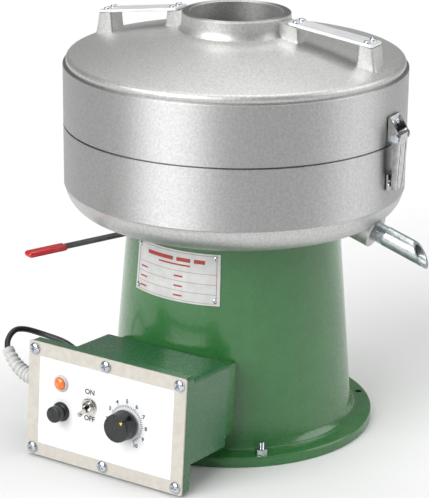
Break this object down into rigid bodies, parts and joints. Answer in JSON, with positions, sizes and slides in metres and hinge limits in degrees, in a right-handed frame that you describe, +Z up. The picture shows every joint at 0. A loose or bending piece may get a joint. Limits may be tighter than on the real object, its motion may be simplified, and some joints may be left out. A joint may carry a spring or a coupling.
{
  "type": "centrifuge extractor",
  "caption": "Bench centrifuge extractor: green cone pedestal, aluminium bowl housing with lift-off cover, drain spout, brake lever and speed-control box.",
  "frame": {"origin": "on the spindle axis, in the plane of the pedestal's underside", "axes": "+Z up along the spindle; the control panel faces -Y; the spout points to +X, turned 4.3 degrees towards +Y"},
  "size_m": [0.4277, 0.5261, 0.4561],
  "materials": {
    "machined_aluminium": "turned, slightly mottled",
    "cast_aluminium": "rough sand casting",
    "green_enamel": "glossy paint over rough casting",
    "zinc_plate": "zinc plated",
    "bright_plate": "bright nickel plate",
    "galvanised_pipe": "galvanised",
    "dark_steel": "dark grey paint",
    "plate_print": "printed plate",
    "beige_plate": "satin paint with a printed label",
    "grey_plastic": "moulded",
    "black_plastic": "moulded",
    "orange_lens": "translucent lens",
    "circuit_board": "board",
    "filter_paper": "paper",
    "red_vinyl": "dipped vinyl",
    "brake_lining": "moulded lining",
    "cord_sheath": "flexible sheath"
  },
  "bodies": {
    "base": {"pedestal": "green_enamel", "bottom_cover": "green_enamel", "hold_down_stud": "zinc_plate", "hold_down_nut": "zinc_plate", "nameplate": "plate_print", "lower_housing": "machined_aluminium", "latch_keeper_1": "bright_plate", "latch_keeper_2": "bright_plate", "drain_spout": "galvanised_pipe", "bearing_housing": "cast_aluminium", "lower_bearing": "zinc_plate", "upper_bearing": "zinc_plate", "motor": "dark_steel", "motor_mount": "zinc_plate", "brake_pivot_bolt": "zinc_plate", "control_box": "green_enamel", "face_plate": "beige_plate", "plate_screw_1": "zinc_plate", "plate_screw_2": "zinc_plate", "plate_screw_3": "zinc_plate", "plate_screw_4": "zinc_plate", "plate_screw_5": "zinc_plate", "plate_screw_6": "zinc_plate", "lamp_bezel": "grey_plastic", "pilot_lamp": "orange_lens", "fuse_holder": "black_plastic", "toggle_switch": "bright_plate", "potentiometer": "zinc_plate", "speed_control_board": "circuit_board", "cable_gland": "grey_plastic", "strain_relief": "grey_plastic", "mains_lead": "cord_sheath", "plug_lead": "cord_sheath", "lead_coil": "cord_sheath", "mains_plug": "cord_sheath"},
    "cover": {"housing_cover": "cast_aluminium", "handle_bar_1": "bright_plate", "handle_bar_2": "bright_plate", "latch_bracket_1": "bright_plate", "latch_bracket_2": "bright_plate", "latch_pin_1": "bright_plate", "latch_pin_2": "bright_plate"},
    "latch_1": {"latch_lever_1": "bright_plate"},
    "latch_2": {"latch_lever_2": "bright_plate"},
    "claw_1": {"latch_claw_1": "bright_plate"},
    "claw_2": {"latch_claw_2": "bright_plate"},
    "rotor": {"spindle": "zinc_plate", "brake_drum": "dark_steel", "slinger": "zinc_plate", "rotor_bowl": "machined_aluminium", "filter_ring": "filter_paper", "bowl_lid": "machined_aluminium", "bowl_nut": "zinc_plate"},
    "brake": {"brake_lever": "dark_steel", "brake_shoe": "brake_lining", "brake_grip": "red_vinyl"},
    "fuse_cap": {"fuse_cap": "black_plastic"},
    "toggle": {"toggle_lever": "bright_plate"},
    "knob": {"speed_knob": "black_plastic", "speed_shaft": "zinc_plate"}
  },
  "joints": [
    {"name": "cover_lift", "type": "slide", "parent": "base", "child": "cover", "axis": [0, 0, 1], "range_m": [0, 0.12]},
    {"name": "latch_1_swing", "type": "hinge", "parent": "cover", "child": "latch_1", "pos_m": [0.19246, 0.01447, 0.3475], "axis": [0.075, -0.9972, 0], "range_deg": [0, 150]},
    {"name": "claw_1_hang", "type": "hinge", "parent": "latch_1", "child": "claw_1", "pos_m": [0.18907, 0.01422, 0.338], "axis": [0.075, -0.9972, 0], "range_deg": [-150, 0]},
    {"name": "latch_2_swing", "type": "hinge", "parent": "cover", "child": "latch_2", "pos_m": [-0.19246, -0.01447, 0.3475], "axis": [-0.075, 0.9972, 0], "range_deg": [0, 150]},
    {"name": "claw_2_hang", "type": "hinge", "parent": "latch_2", "child": "claw_2", "pos_m": [-0.18907, -0.01422, 0.338], "axis": [-0.075, 0.9972, 0], "range_deg": [-150, 0]},
    {"name": "spindle_spin", "type": "hinge", "parent": "base", "child": "rotor", "pos_m": [0, 0, 0.3], "axis": [0, 0, 1], "continuous": true},
    {"name": "brake_swing", "type": "hinge", "parent": "base", "child": "brake", "pos_m": [-0.04129, -0.02193, 0.2235], "axis": [0, 0, 1], "range_deg": [-6.5, 0]},
    {"name": "speed_turn", "type": "hinge", "parent": "base", "child": "knob", "pos_m": [0.0118, -0.22007, 0.0645], "axis": [0, -0.9976, 0.0698], "range_deg": [-103, 197]},
    {"name": "toggle_flip", "type": "hinge", "parent": "base", "child": "toggle", "pos_m": [-0.0355, -0.22071, 0.07257], "axis": [1, 0, 0], "range_deg": [-32, 0]},
    {"name": "fuse_cap_turn", "type": "hinge", "parent": "base", "child": "fuse_cap", "pos_m": [-0.0713, -0.22049, 0.05852], "axis": [0, -0.9976, 0.0698], "range_deg": [0, 90]}
  ],
  "couplings": [
    {"joint": "claw_1_hang", "follows": "latch_1_swing", "ratio": -1},
    {"joint": "claw_2_hang", "follows": "latch_2_swing", "ratio": -1}
  ]
}
